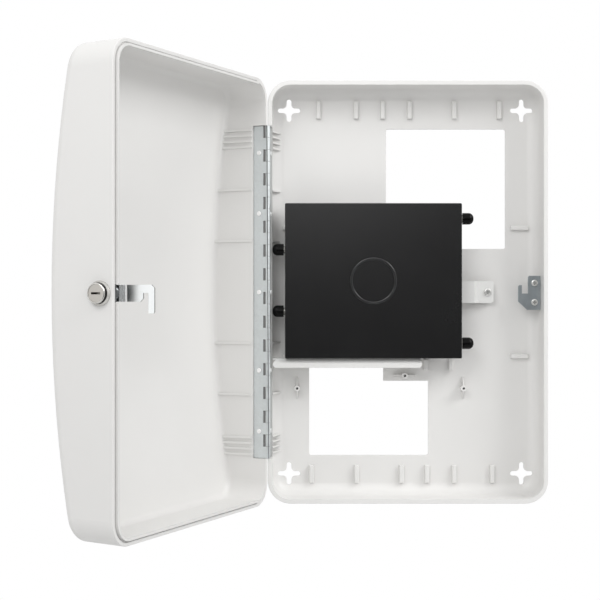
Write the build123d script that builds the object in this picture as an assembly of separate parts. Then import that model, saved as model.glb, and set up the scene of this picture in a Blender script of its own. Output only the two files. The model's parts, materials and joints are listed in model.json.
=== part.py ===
from build123d import *
import math
import os

# Lockable wall enclosure for a radio access point, shown with its door standing open.
# Millimetres. X runs to the right, Z up, and the front faces -Y.
# X = 0 and Z = 0 are the middle of the tray, and Y = 0 is the wall that it is screwed to.

# Overall sizes
tray_width = 300.0
tray_height = 453.0
tray_depth = 44.0
corner_radius = 24.5
wall = 4.5
floor_thickness = 4.0
floor_fillet = 13.0
back_edge_radius = 2.0
rim_edge_radius = 0.7

# Door
door_depth_at_ends = 46.9
door_depth_at_middle = 69.0
door_end_draft = 2.0
door_panel = 4.0
door_edge_radius = 8.0
door_inner_radius = 6.0
door_open_angle = 115.5
rim_gap = 0.3

# Locating lip round the door's rim
lip_thickness = 2.4
lip_stands_proud = 2.0
lip_root_depth = 6.0
lip_clearance = 0.4
lip_gap_past_nut = 1.5
lip_depth_over_nut = 1.7
lip_gap_past_latch = 1.0
lip_groove_depth = 1.2
rim_land = 3.6

# Piano hinge
knuckle_length = 12.7
hinge_from_end = 48.5
knuckle_radius = 2.4
knuckle_end_gap = 0.15
pin_radius = 1.25
pin_clearance = 0.05
leaf_thickness = knuckle_radius - pin_radius - pin_clearance
leaf_width = 15.6
leaf_clearance = 0.3
leaf_notch_depth = 4.3
barrel_clearance = 0.35
rivet_radius = 1.6
rivet_head_radius = 2.6
rivet_head_height = 1.2
rivet_tail_height = 0.7
rivet_from_pin = 9.2
rivet_from_hinge_end = 28.8
rivet_middle_spacing = 84.0
rivet_clearance = 0.05

# Four-pointed mounting slots
slot_from_side = 22.3
slot_from_end = 27.1
slot_length = 24.8
slot_width = 5.3
slot_crotch_radius = 4.2

# Cable cut-outs in the floor, as left, right, bottom and top
upper_cutout = (-21.2, 110.0, 47.4, 179.0)
lower_cutout = (-105.5, 25.3, -179.3, -47.6)
cutout_tab = (-24.1, 25.3, -97.5, -47.6)
cutout_radius = 2.5

# Short stiffening ribs on the floor
rib_length = 19.5
rib_width = 4.8
rib_height = 5.0
rib_round = 1.0
rib_from_end = 26.9
top_rib_places = (-95.3, -54.1, -25.0, 4.6, 53.5, 102.9)
bottom_rib_places = (-102.9, -53.5, -4.2, 23.8, 53.5, 95.2)
rib_from_side = 25.1
side_rib_height = 70.3
middle_rib_places = (22.4, 49.8)
middle_rib_height = -79.6
middle_rib_length = 12.0

# Thin ribs that run down the hinge side of the tray and the door
single_wall_ribs = (55.0, 110.0)
wall_rib_group = 4
wall_rib_pitch = 6.0
wall_rib_from_hinge_end = 3.8
wall_rib_width = 2.6
wall_rib_height = 1.6
tray_rib_foot = 8.5
tray_rib_width = 1.8

# Bosses
boss_hole_radius = 1.3
screw_clearance = 0.05
spare_boss_radius = 3.25
spare_boss_height = 12.0
spare_boss_spacing = 181.9
spare_boss_left = -118.8
spare_boss_level = -105.2
tab_boss_place = (-1.1, -91.4)
gusset_reach = 12.0
gusset_thickness = 1.6
gusset_drop = 2.0

# Screws
screw_head_radius = 3.6
screw_head_height = 2.4
screw_recess_depth = 1.3
screw_recess_width = 1.0
screw_length = 7.5
screw_past_boss = 0.3

# Keeper plate that the latch hooks over
keeper_thickness = 1.6
keeper_wall_gap = 0.5
keeper_notch_width = 6.7
keeper_notch_drop = 0.8
keeper_finger_width = 3.9
keeper_finger_height = 9.2
keeper_corner_cut = 1.2
keeper_top = 19.2
keeper_bottom = 17.7
keeper_chamfer_x = 9.6
keeper_chamfer_z = 9.0
keeper_screw_from_wall = 6.9
keeper_screw_above = 11.4
keeper_screw_below = 9.5
keeper_boss_radius = 4.2

# Access point
ap_width = 190.0
ap_height = 166.8
ap_thickness = 24.0
ap_centre_z = 12.1
ap_below_rim = 4.0
ap_corner_radius = 1.5
ap_inner_radius = 1.0
ap_edge_radius = 0.8
ap_wall = 2.2
ap_plate_thickness = 1.6
ap_post_radius = 4.0
ap_post_inset = 12.0
board_thickness = 1.6
board_gap = 12.0
board_margin = 4.0
board_clearance = 0.3
light_ring_radius = 25.4
light_ring_width = 3.3
light_ring_proud = 1.2
light_ring_seat = 0.8
light_ring_clearance = 0.05

# Antenna connectors and their dust caps
left_connector_levels = (-20.7, 45.8)
right_connector_levels = (-55.3, 79.2)
connector_radius = 3.1
connector_inboard = 7.0
connector_outboard = 11.5
connector_flange_radius = 5.0
connector_flange_thickness = 1.5
nut_radius = 4.0
nut_thickness = 1.6
nut_knurls = 18
nut_knurl_radius = 0.3
cap_radius = 6.3
cap_length = 12.0
cap_wall_end = 1.4
cap_nose_round = 5.4
cap_mouth_round = 0.5
cap_wall_gap = 0.2
fit_clearance = 0.05

# Shelf under the access point, bent from sheet
sheet = 1.2
bracket_setback = 4.8
shelf_wall_gap = 0.8
shelf_length = 160.5
shelf_gap = 0.1
shelf_slope_drop = 5.2
shelf_slope_run = 4.5
shelf_lip_drop = 4.9
shelf_front_setback = 7.5
shelf_flange_height = 44.0
shelf_boss_radius = 4.2
shelf_screw_rise = 31.3
shelf_screw_inset = 24.7
shelf_screw_right_inset = 13.8
shelf_lip_corner = 2.5
shelf_slope_cut_left = 4.3
shelf_slope_cut_right = 2.4
shelf_bend_ease = 0.3
bracket_clearance = 0.3

# Strap across the back of the access point
strap_height = 24.0
strap_past_right = 37.9
strap_inside_left = 5.9
strap_foot_right = 16.8
strap_foot_left = 21.5
strap_bend_run = 4.0
strap_bend_ease = 0.6
strap_corner = 3.0
strap_screw_from_end = 6.7
strap_screw_head_radius = 4.0
strap_boss_radius = 5.0
strap_ap_screw_reach = 45.0
strap_ap_screw_head_height = 2.0
strap_ap_screw_length = 2.4

# Cam lock in the door's free side
lock_from_rim = 13.8
lock_level = -1.05
lock_flange_overlap = 1.8
lock_flange_proud = 6.7
lock_flange_edge = 0.7
lock_flange_skirt = 3.0
lock_collar_inset = 1.9
lock_collar_round = 1.1
lock_barrel_radius = 9.4
lock_hole_clearance = 0.1
lock_barrel_end = 16.6
plug_face_radius = 7.9
plug_face_thickness = 2.5
plug_core_radius = 6.5
plug_clearance = 0.05
plug_square = 8.0
plug_setback = 0.3
keyway_length = 9.6
keyway_width = 1.9
keyway_depth = 6.0
lock_nut_wall = 2.2
lock_nut_thickness = 3.5
lock_washer_width = 2.3
lock_washer_thickness = 1.0

# Cranked latch hook
latch_thickness = 1.6
latch_lock_plane = 17.6
latch_hook_plane = 21.65
latch_crank_start = -5.4
latch_crank_end = 0.6
latch_width = 15.1
latch_eye_radius = 9.5
latch_finger_round = 1.0
latch_reach = 29.4
latch_throat_near = 17.9
latch_throat_far = 23.3
latch_throat_top = 0.25
latch_finger_drop = 17.75
latch_chamfer = 3.0
latch_round = 3.0
latch_square_clearance = 0.05
cam_gap = 0.2
cam_washer_radius = 4.5
cam_washer_thickness = 1.0
cam_screw_head_radius = 4.2
cam_screw_head_height = 2.8
cam_screw_radius = 2.0
cam_screw_length = 8.0

# Places worked out from the sizes above
half_width = tray_width / 2
half_height = tray_height / 2
rim_y = -tray_depth
floor_y = -floor_thickness
inner_half_width = half_width - wall
slot_x = half_width - slot_from_side
slot_z = half_height - slot_from_end
rib_end_z = half_height - rib_from_end
rib_side_x = half_width - rib_from_side

hinge_x = -half_width
hinge_y = rim_y
knuckle_count = 2 * int((tray_height - 2 * hinge_from_end) / (2 * knuckle_length))
hinge_half_length = knuckle_length * knuckle_count / 2
end_rivet = hinge_half_length - rivet_from_hinge_end
rivet_heights = (-end_rivet, -rivet_middle_spacing, 0.0, rivet_middle_spacing, end_rivet)
leaf_back_x = hinge_x + knuckle_radius - leaf_thickness
leaf_face_x = hinge_x + knuckle_radius
pocket_half_length = hinge_half_length + leaf_clearance
pocket_reach = leaf_width + leaf_clearance
notch_radius = knuckle_radius + barrel_clearance
grouped_wall_ribs = [hinge_half_length - wall_rib_from_hinge_end - wall_rib_pitch * index
                     for index in range(wall_rib_group)]
wall_rib_places = list(single_wall_ribs) + grouped_wall_ribs

door_rim_y = rim_y - rim_gap
door_bulge = door_depth_at_middle - door_depth_at_ends
door_arc_radius = (half_height ** 2 + door_bulge ** 2) / (2 * door_bulge)
door_arc_centre_y = rim_y - door_depth_at_middle + door_arc_radius
lip_outer = wall + lip_clearance
lip_inner = lip_outer + lip_thickness

ap_front_y = rim_y + ap_below_rim
ap_back_y = ap_front_y + ap_thickness
ap_plate_y = ap_back_y - ap_plate_thickness
ap_left = cap_wall_gap + cap_length + nut_thickness - inner_half_width
ap_right = ap_left + ap_width
ap_centre_x = (ap_left + ap_right) / 2
ap_bottom = ap_centre_z - ap_height / 2
connector_y = (ap_front_y + ap_plate_y) / 2

bracket_y = ap_back_y + bracket_setback
bracket_boss_height = floor_y - bracket_y - sheet
bracket_screw_length = sheet + bracket_boss_height + screw_past_boss
shelf_left = shelf_wall_gap - inner_half_width
shelf_right = shelf_left + shelf_length
shelf_screw_level = ap_bottom + shelf_screw_rise
shelf_screw_places = (shelf_left + shelf_screw_inset, shelf_right - shelf_screw_right_inset)
strap_left = ap_left + strap_inside_left
strap_right = ap_right + strap_past_right
strap_bend_left = strap_left + strap_foot_left
strap_bend_right = strap_right - strap_foot_right
strap_screw_places = (strap_left + strap_screw_from_end, strap_right - strap_screw_from_end)
strap_ap_screw_places = (ap_centre_x - strap_ap_screw_reach, ap_centre_x + strap_ap_screw_reach)

lock_y = rim_y - lock_from_rim
lock_flange_radius = lock_barrel_radius + lock_flange_overlap
lock_washer_radius = lock_barrel_radius + lock_washer_width
lock_nut_radius = lock_barrel_radius + lock_nut_wall
hook_x = half_width - latch_hook_plane
keeper_y = rim_y + (latch_throat_near + latch_throat_far - keeper_thickness) / 2
keeper_right = inner_half_width - keeper_wall_gap
keeper_notch_z = lock_level + latch_throat_top - keeper_notch_drop
keeper_screw_x = inner_half_width - keeper_screw_from_wall
keeper_screw_levels = (keeper_notch_z - keeper_screw_below, keeper_notch_z + keeper_screw_above)


def slab(width, height, radius, front, back, centre_x=0.0, centre_z=0.0):
    """A plate with rounded corners, seen from the front, between two Y planes."""
    seat = Plane(origin=(centre_x, back, centre_z), x_dir=(1, 0, 0), z_dir=(0, -1, 0))
    return extrude(seat * RectangleRounded(width, height, radius), amount=back - front)


def block(left, right, front, back, bottom, top):
    """A box between two X, two Y and two Z planes."""
    middle = Pos((left + right) / 2, (front + back) / 2, (bottom + top) / 2)
    return middle * Box(right - left, back - front, top - bottom)


def rod_y(x, z, radius, front, back):
    """A round bar that runs front to back."""
    return Pos(x, (front + back) / 2, z) * Rot(90, 0, 0) * Cylinder(radius, back - front)


def rod_x(y, z, radius, left, right):
    """A round bar that runs left to right."""
    return Pos((left + right) / 2, y, z) * Rot(0, 90, 0) * Cylinder(radius, right - left)


def rod_z(x, y, radius, bottom, top):
    """A round bar that runs upward."""
    return Pos(x, y, (bottom + top) / 2) * Cylinder(radius, top - bottom)


def plate_from_front(points, front, back):
    """A flat plate cut to an outline of X and Z points, between two Y planes."""
    seat = Plane(origin=(0, back, 0), x_dir=(1, 0, 0), z_dir=(0, -1, 0))
    return extrude(seat * make_face(Polyline(*points, close=True)), amount=back - front)


def swing_open(shape):
    """Turn a piece of the closed door about the hinge pin to where it stands open."""
    to_pin = Pos(-hinge_x, -hinge_y, 0)
    from_pin = Pos(hinge_x, hinge_y, 0)
    return from_pin * Rot(0, 0, -door_open_angle) * to_pin * shape


def cross_screw(head_radius, head_height, shank_radius, length):
    """A pan head screw that points along +Y, with the underside of its head at Y = 0."""
    head = rod_y(0, 0, head_radius, -head_height, 0)
    head = fillet(head.edges().group_by(Axis.Y)[0], head_height * 0.45)
    shank = rod_y(0, 0, shank_radius, 0, length)
    recess = block(-head_radius * 0.55, head_radius * 0.55, -head_height - 1,
                   screw_recess_depth - head_height, -screw_recess_width / 2, screw_recess_width / 2)
    recess += Rot(0, 90, 0) * recess
    return head + shank - recess


def boss(x, z, radius, height, hole_radius=boss_hole_radius):
    """A round post on the tray's floor, as its body and the hole down its middle."""
    body = rod_y(x, z, radius, floor_y - height, floor_y + 1)
    hole = rod_y(x, z, hole_radius, floor_y - height - 1, floor_y + 0.5)
    return body, hole


def gusset(x, z, radius, height, upright):
    """Two thin fins that brace a post, along Z where upright is true and along X where not."""
    crest = floor_y - height + gusset_drop
    points = ((-gusset_reach, floor_y + 1), (-gusset_reach, floor_y - 1), (-radius, crest),
              (radius, crest), (gusset_reach, floor_y - 1), (gusset_reach, floor_y + 1))
    seat = Plane(origin=(0, 0, -gusset_thickness / 2), x_dir=(1, 0, 0), z_dir=(0, 0, 1))
    fin = extrude(seat * make_face(Polyline(*points, close=True)), amount=gusset_thickness)
    if upright:
        fin = Rot(0, 90, 0) * fin
    return Pos(x, 0, z) * fin


def floor_rib(x, z, size_x, size_z):
    """A short rib on the floor with its top edges eased."""
    body = block(x - size_x / 2, x + size_x / 2, floor_y - rib_height, floor_y + 1,
                 z - size_z / 2, z + size_z / 2)
    top = body.faces().sort_by(Axis.Y)[0]
    return fillet(top.edges(), rib_round)


def mounting_slot():
    """A four-pointed slot, made of two crossed slots with their inner corners eased."""
    star = SlotOverall(slot_length, slot_width) + Rot(0, 0, 90) * SlotOverall(slot_length, slot_width)
    inner = [v for v in star.vertices() if v.center().length < slot_width]
    return fillet(inner, slot_crotch_radius)


def tray_wall_rib(level):
    """A thin gusset between the hinge-side wall and the floor, under the hinge leaf."""
    wall_x = -inner_half_width
    start_y = rim_y + pocket_reach + 0.5
    outline = ((wall_x - 1, start_y), (wall_x + 0.5, start_y),
               (wall_x + tray_rib_foot, floor_y - floor_fillet * 0.1),
               (wall_x + tray_rib_foot, floor_y + 0.5), (wall_x - 1, floor_y + 0.5))
    seat = Plane(origin=(0, 0, level - tray_rib_width / 2), x_dir=(1, 0, 0), z_dir=(0, 0, 1))
    return extrude(seat * make_face(Polyline(*outline, close=True)), amount=tray_rib_width)


def leaf_pocket(toward):
    """The recess that holds a hinge leaf and its share of the barrel. toward is +1 for the tray."""
    reach_y = hinge_y + toward * pocket_reach
    recess = block(leaf_back_x, -inner_half_width + 1, min(hinge_y - toward, reach_y),
                   max(hinge_y - toward, reach_y), -pocket_half_length, pocket_half_length)
    return recess + rod_z(hinge_x, hinge_y, notch_radius, -pocket_half_length, pocket_half_length)


def rivet_hole(toward, level):
    """A hole through the leaf and the wall behind it."""
    y = hinge_y + toward * rivet_from_pin
    return rod_x(y, level, rivet_radius + rivet_clearance, hinge_x - 2, leaf_face_x + 2)


def make_tray():
    """The moulded tray that is screwed to the wall."""
    outside = slab(tray_width, tray_height, corner_radius, rim_y, 0)
    outside = fillet(outside.edges().group_by(Axis.Y)[-1], back_edge_radius)
    outside = fillet(outside.edges().group_by(Axis.Y)[0], rim_edge_radius)
    inside = slab(tray_width - 2 * wall, tray_height - 2 * wall, corner_radius - wall, rim_y - 5, floor_y)
    inside = fillet(inside.edges().group_by(Axis.Y)[-1], floor_fillet)
    tray = outside - inside

    for x in top_rib_places:
        tray += floor_rib(x, rib_end_z, rib_width, rib_length)
    for x in bottom_rib_places:
        tray += floor_rib(x, -rib_end_z, rib_width, rib_length)
    for side in (-1, 1):
        for end in (-1, 1):
            tray += floor_rib(side * rib_side_x, end * side_rib_height, rib_length, rib_width)
    for level in wall_rib_places:
        tray += tray_wall_rib(level)
        tray += tray_wall_rib(-level)

    seat = Plane(origin=(0, 1, 0), x_dir=(1, 0, 0), z_dir=(0, -1, 0))
    left, right, bottom, top = upper_cutout
    tray -= slab(right - left, top - bottom, cutout_radius, floor_y - 20, 1,
                 (left + right) / 2, (bottom + top) / 2)
    left, right, bottom, top = lower_cutout
    hole = slab(right - left, top - bottom, cutout_radius, floor_y - 20, 1,
                (left + right) / 2, (bottom + top) / 2)
    left, right, bottom, top = cutout_tab
    hole -= block(left, right + 5, floor_y - 25, 5, bottom, top + 5)
    tray -= hole
    star = mounting_slot()
    for side in (-1, 1):
        for end in (-1, 1):
            place = Pos(side * slot_x, end * slot_z)
            tray -= extrude(seat * (place * star), amount=floor_thickness + 5)

    for x in middle_rib_places:
        tray += floor_rib(x, middle_rib_height, rib_width, middle_rib_length)
    posts = []
    for x in (spare_boss_left, spare_boss_left + spare_boss_spacing):
        posts.append(boss(x, spare_boss_level, spare_boss_radius, spare_boss_height))
        tray += gusset(x, spare_boss_level, spare_boss_radius, spare_boss_height, True)
    posts.append(boss(*tab_boss_place, spare_boss_radius, spare_boss_height))
    tray += gusset(*tab_boss_place, spare_boss_radius, spare_boss_height, False)
    for level in keeper_screw_levels:
        posts.append(boss(keeper_screw_x, level, keeper_boss_radius, floor_y - keeper_y - keeper_thickness))
    for x in shelf_screw_places:
        posts.append(boss(x, shelf_screw_level, shelf_boss_radius, bracket_boss_height))
    for x in strap_screw_places:
        posts.append(boss(x, 0, strap_boss_radius, bracket_boss_height))
    for body, hole in posts:
        tray += body
    for body, hole in posts:
        tray -= hole

    tray -= leaf_pocket(1)
    for level in rivet_heights:
        tray -= rivet_hole(1, level)
    return tray


def door_block(width, height, radius, arc_radius, back):
    """A block with the door's outline, drafted top and bottom, and its vertically curved front."""
    front = rim_y - door_depth_at_middle - 5
    draft = (back - front) * math.tan(math.radians(door_end_draft))
    top_front = height / 2 - draft
    outline = ((back, height / 2), (front, top_front), (front, -top_front), (back, -height / 2))
    seat = Plane(origin=(-width / 2, 0, 0), x_dir=(0, 1, 0), z_dir=(1, 0, 0))
    body = extrude(seat * make_face(Polyline(*outline, close=True)), amount=width)
    corners = [edge for edge in body.edges() if abs(edge.tangent_at(0.5).Y) > 0.9]
    body = fillet(corners, radius)
    return body & rod_x(door_arc_centre_y, 0, arc_radius, -tray_width, tray_width)


def lock_hole():
    """The hole through the door's free side for the lock's barrel."""
    return rod_x(lock_y, lock_level, lock_barrel_radius + lock_hole_clearance,
                 inner_half_width - 5, half_width + 5)


def make_door():
    """The moulded door, closed."""
    outside = door_block(tray_width, tray_height, corner_radius, door_arc_radius, door_rim_y)
    outside = fillet(outside.faces().sort_by(Axis.Y)[0].edges(), door_edge_radius)
    outside = fillet(outside.edges().group_by(Axis.Y)[-1], rim_edge_radius)
    inside = door_block(tray_width - 2 * wall, tray_height - 2 * wall, corner_radius - wall,
                        door_arc_radius - door_panel, door_rim_y + 5)
    inside = fillet(inside.faces().sort_by(Axis.Y)[0].edges(), door_inner_radius)
    door = outside - inside

    root_front = door_rim_y - lip_root_depth
    lip_back = rim_y + lip_stands_proud
    ring = slab(tray_width - 2 * wall + 1, tray_height - 2 * wall + 1, corner_radius - wall + 0.5,
                root_front, door_rim_y - lip_groove_depth)
    ring += slab(tray_width - 2 * lip_outer, tray_height - 2 * lip_outer, corner_radius - lip_outer,
                 root_front, lip_back)
    ring -= slab(tray_width - 2 * lip_inner, tray_height - 2 * lip_inner, corner_radius - lip_inner,
                 root_front - 5, lip_back + 5)
    ring -= block(-half_width - 5, corner_radius - half_width, root_front - 5, lip_back + 5,
                  -half_height - 5, half_height + 5)
    lip_gap = lock_nut_radius / math.cos(math.radians(30)) + lip_gap_past_nut
    ring -= block(half_width - corner_radius, half_width, root_front - 5, door_rim_y - lip_depth_over_nut,
                  lock_level - lip_gap, lock_level + lip_gap)
    latch_gap = latch_width / 2 + lip_gap_past_latch
    ring -= block(half_width - corner_radius, half_width, door_rim_y - 5, lip_back + 5,
                  lock_level - latch_gap, lock_level + latch_gap)
    door += ring
    groove = slab(tray_width - 2 * rim_land, tray_height - 2 * rim_land, corner_radius - rim_land,
                  door_rim_y - lip_groove_depth, door_rim_y + 1)
    groove -= slab(tray_width - 2 * lip_outer, tray_height - 2 * lip_outer, corner_radius - lip_outer,
                   door_rim_y - lip_groove_depth - 1, door_rim_y + 2)
    groove -= block(-half_width - 5, corner_radius - half_width, door_rim_y - 5, door_rim_y + 5,
                    -half_height - 5, half_height + 5)
    door -= groove

    for level in wall_rib_places:
        depth = door_depth_at_middle - level ** 2 / (2 * door_arc_radius) - door_panel / 2
        for side in (-1, 1):
            door += block(-inner_half_width - 1, -inner_half_width + wall_rib_height, rim_y - depth,
                          rim_y - pocket_reach - 0.5, side * level - wall_rib_width / 2,
                          side * level + wall_rib_width / 2)
    door -= leaf_pocket(-1)
    for level in rivet_heights:
        door -= rivet_hole(-1, level)
    door -= lock_hole()
    return door


def make_leaf(toward, first):
    """A hinge leaf with every second knuckle. toward is +1 for the tray's leaf."""
    sheet_near = hinge_y
    sheet_far = hinge_y + toward * leaf_width
    leaf = block(leaf_back_x, leaf_face_x, min(sheet_near, sheet_far),
                 max(sheet_near, sheet_far), -hinge_half_length, hinge_half_length)
    leaf += rod_z(hinge_x, hinge_y, knuckle_radius, -hinge_half_length, hinge_half_length)
    for index in range(knuckle_count):
        top = hinge_half_length - index * knuckle_length
        bottom = top - knuckle_length
        if index % 2 == first:
            continue
        low = bottom - (knuckle_end_gap if index < knuckle_count - 1 else 1)
        high = top + (knuckle_end_gap if index > 0 else 1)
        near_y = hinge_y - toward * (knuckle_radius + 1)
        far_y = hinge_y + toward * leaf_notch_depth
        leaf -= block(hinge_x - knuckle_radius - 1, hinge_x + knuckle_radius + 1,
                      min(near_y, far_y), max(near_y, far_y), low, high)
    leaf -= rod_z(hinge_x, hinge_y, pin_radius + pin_clearance, -hinge_half_length - 1,
                  hinge_half_length + 1)
    for level in rivet_heights:
        leaf -= rivet_hole(toward, level)
    return leaf


def make_rivets(toward):
    """Five domed rivets through a leaf and the thinned wall behind it."""
    y = hinge_y + toward * rivet_from_pin
    rivets = []
    for level in rivet_heights:
        head = rod_x(y, level, rivet_head_radius, leaf_face_x, leaf_face_x + rivet_head_height)
        head = fillet(head.edges().group_by(Axis.X)[-1], rivet_head_height * 0.8)
        tail = rod_x(y, level, rivet_head_radius, hinge_x - rivet_tail_height, hinge_x)
        tail = fillet(tail.edges().group_by(Axis.X)[0], rivet_tail_height * 0.7)
        rivets.append(head + tail + rod_x(y, level, rivet_radius, hinge_x, leaf_face_x))
    return Compound(rivets)


def make_pin():
    """The hinge pin with its ends eased."""
    pin = rod_z(hinge_x, hinge_y, pin_radius, -hinge_half_length, hinge_half_length)
    return chamfer(pin.edges(), pin_radius * 0.3)


def make_keeper():
    """The steel plate on the tray's free side, with a notch that opens upward."""
    notch_right = hook_x + keeper_notch_width / 2
    notch_left = hook_x - keeper_notch_width / 2
    far_left = notch_left - keeper_finger_width
    foot = keeper_notch_z - keeper_bottom
    finger_top = keeper_notch_z + keeper_finger_height
    outline = (
        (keeper_right, foot), (far_left + keeper_chamfer_x, foot),
        (far_left, foot + keeper_chamfer_z), (far_left, finger_top - keeper_corner_cut),
        (far_left + keeper_corner_cut, finger_top),
        (notch_left, finger_top), (notch_left, keeper_notch_z),
        (notch_right, keeper_notch_z), (notch_right, keeper_notch_z + keeper_top - keeper_corner_cut),
        (notch_right + keeper_corner_cut, keeper_notch_z + keeper_top),
        (keeper_right, keeper_notch_z + keeper_top),
    )
    plate = plate_from_front(outline, keeper_y, keeper_y + keeper_thickness)
    for level in keeper_screw_levels:
        plate -= rod_y(keeper_screw_x, level, boss_hole_radius + 0.2, keeper_y - 1,
                       keeper_y + keeper_thickness + 1)
    return plate


def make_keeper_screws():
    """The two screws that hold the keeper plate."""
    one = cross_screw(screw_head_radius, screw_head_height, boss_hole_radius - screw_clearance, screw_length)
    return Compound([Pos(keeper_screw_x, keeper_y, level) * one for level in keeper_screw_levels])


def ap_posts():
    """Where the access point's four posts stand, as X and Z."""
    reach_x = ap_width / 2 - ap_post_inset
    reach_z = ap_height / 2 - ap_post_inset
    return [(ap_centre_x + i * reach_x, ap_centre_z + j * reach_z) for i in (-1, 1) for j in (-1, 1)]


def connectors():
    """Each antenna connector as its side of the access point and its level."""
    left = [(-1, level) for level in left_connector_levels]
    return left + [(1, level) for level in right_connector_levels]


def side_rod(side, level, radius, inboard, outboard):
    """A round bar through a side of the access point, measured from that side's face."""
    face_x = ap_centre_x + side * ap_width / 2
    ends = sorted((face_x - side * inboard, face_x + side * outboard))
    return rod_x(connector_y, level, radius, *ends)


def make_ap_cover():
    """The front shell of the access point."""
    outside = slab(ap_width, ap_height, ap_corner_radius, ap_front_y, ap_plate_y, ap_centre_x, ap_centre_z)
    outside = fillet(outside.edges().group_by(Axis.Y)[0], ap_edge_radius)
    inside = slab(ap_width - 2 * ap_wall, ap_height - 2 * ap_wall, ap_inner_radius,
                  ap_front_y + ap_wall, ap_plate_y + 1, ap_centre_x, ap_centre_z)
    cover = outside - inside
    for x, z in ap_posts():
        cover += rod_y(x, z, ap_post_radius, ap_front_y + 1, ap_plate_y)
        cover -= rod_y(x, z, boss_hole_radius, ap_plate_y - screw_length, ap_plate_y + 1)
        cover += rod_y(x + (ap_centre_x - x) * 0.5, z, ap_post_radius * 0.75, ap_front_y + 1,
                       ap_front_y + board_gap)
    for side, level in connectors():
        cover -= side_rod(side, level, connector_radius + fit_clearance, ap_wall + 1, 1)
    inner_radius = light_ring_radius - light_ring_width
    seat = rod_y(ap_centre_x, ap_centre_z, light_ring_radius + light_ring_clearance, ap_front_y - 1,
                 ap_front_y + light_ring_seat)
    seat -= rod_y(ap_centre_x, ap_centre_z, inner_radius - light_ring_clearance, ap_front_y - 2,
                  ap_front_y + light_ring_seat + 1)
    return cover - seat


def make_light_ring():
    """The raised ring in the middle of the access point's front."""
    inner_radius = light_ring_radius - light_ring_width
    ring = rod_y(ap_centre_x, ap_centre_z, light_ring_radius, ap_front_y - light_ring_proud,
                 ap_front_y + light_ring_seat)
    ring -= rod_y(ap_centre_x, ap_centre_z, inner_radius, ap_front_y - 5, ap_front_y + 5)
    return fillet(ring.edges().group_by(Axis.Y)[0], light_ring_proud * 0.9)


def make_ap_back():
    """The flat metal back of the access point."""
    plate = slab(ap_width, ap_height, ap_corner_radius, ap_plate_y, ap_back_y, ap_centre_x, ap_centre_z)
    for x, z in ap_posts():
        plate -= rod_y(x, z, boss_hole_radius + 0.2, ap_plate_y - 1, ap_back_y + 1)
    for x in strap_ap_screw_places:
        plate -= rod_y(x, 0, boss_hole_radius, ap_plate_y - 1, ap_back_y + 1)
    return plate


def make_ap_screws():
    """The four screws that hold the access point's back on."""
    one = Rot(0, 0, 180) * cross_screw(screw_head_radius * 0.8, screw_head_height * 0.7,
                                       boss_hole_radius - screw_clearance, screw_length - 1)
    return Compound([Pos(x, ap_back_y, z) * one for x, z in ap_posts()])


def make_board():
    """The circuit board, cut away round the posts."""
    front = ap_front_y + board_gap
    board = slab(ap_width - 2 * (ap_wall + board_margin), ap_height - 2 * (ap_wall + board_margin),
                 ap_inner_radius, front, front + board_thickness, ap_centre_x, ap_centre_z)
    for x, z in ap_posts():
        board -= rod_y(x, z, ap_post_radius + board_clearance, front - 1, front + board_thickness + 1)
    for side, level in connectors():
        room = math.hypot(connector_inboard, connector_radius) + board_clearance
        board -= rod_y(ap_centre_x + side * ap_width / 2, level, room, front - 1,
                       front + board_thickness + 1)
    return board


def make_connectors():
    """The four threaded antenna sockets that pass through the access point's sides."""
    pieces = []
    for side, level in connectors():
        barrel = side_rod(side, level, connector_radius, connector_inboard, connector_outboard)
        flange_inboard = ap_wall + connector_flange_thickness
        flange = side_rod(side, level, connector_flange_radius, flange_inboard, -ap_wall)
        pieces.append(barrel + flange)
    return Compound(pieces)


def make_connector_nuts():
    """The knurled nuts that hold the antenna sockets."""
    pieces = []
    for side, level in connectors():
        nut = side_rod(side, level, nut_radius, 0, nut_thickness)
        for index in range(nut_knurls):
            angle = 2 * math.pi * index / nut_knurls
            y = connector_y + nut_radius * math.cos(angle)
            z = level + nut_radius * math.sin(angle)
            face_x = ap_centre_x + side * ap_width / 2
            ends = sorted((face_x - side, face_x + side * (nut_thickness + 1)))
            nut -= rod_x(y, z, nut_knurl_radius, *ends)
        nut -= side_rod(side, level, connector_radius + fit_clearance, 1, nut_thickness + 1)
        pieces.append(nut)
    return Compound(pieces)


def make_connector_caps():
    """The dust caps pushed over the antenna sockets."""
    pieces = []
    for side, level in connectors():
        cap = side_rod(side, level, cap_radius, -nut_thickness, nut_thickness + cap_length)
        ends = cap.edges().group_by(Axis.X)
        cap = fillet(ends[-1 if side > 0 else 0], cap_nose_round)
        cap = fillet(cap.edges().group_by(Axis.X)[0 if side > 0 else -1], cap_mouth_round)
        cap -= side_rod(side, level, connector_radius + fit_clearance, 0,
                        nut_thickness + cap_length - cap_wall_end)
        pieces.append(cap)
    return Compound(pieces)


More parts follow.
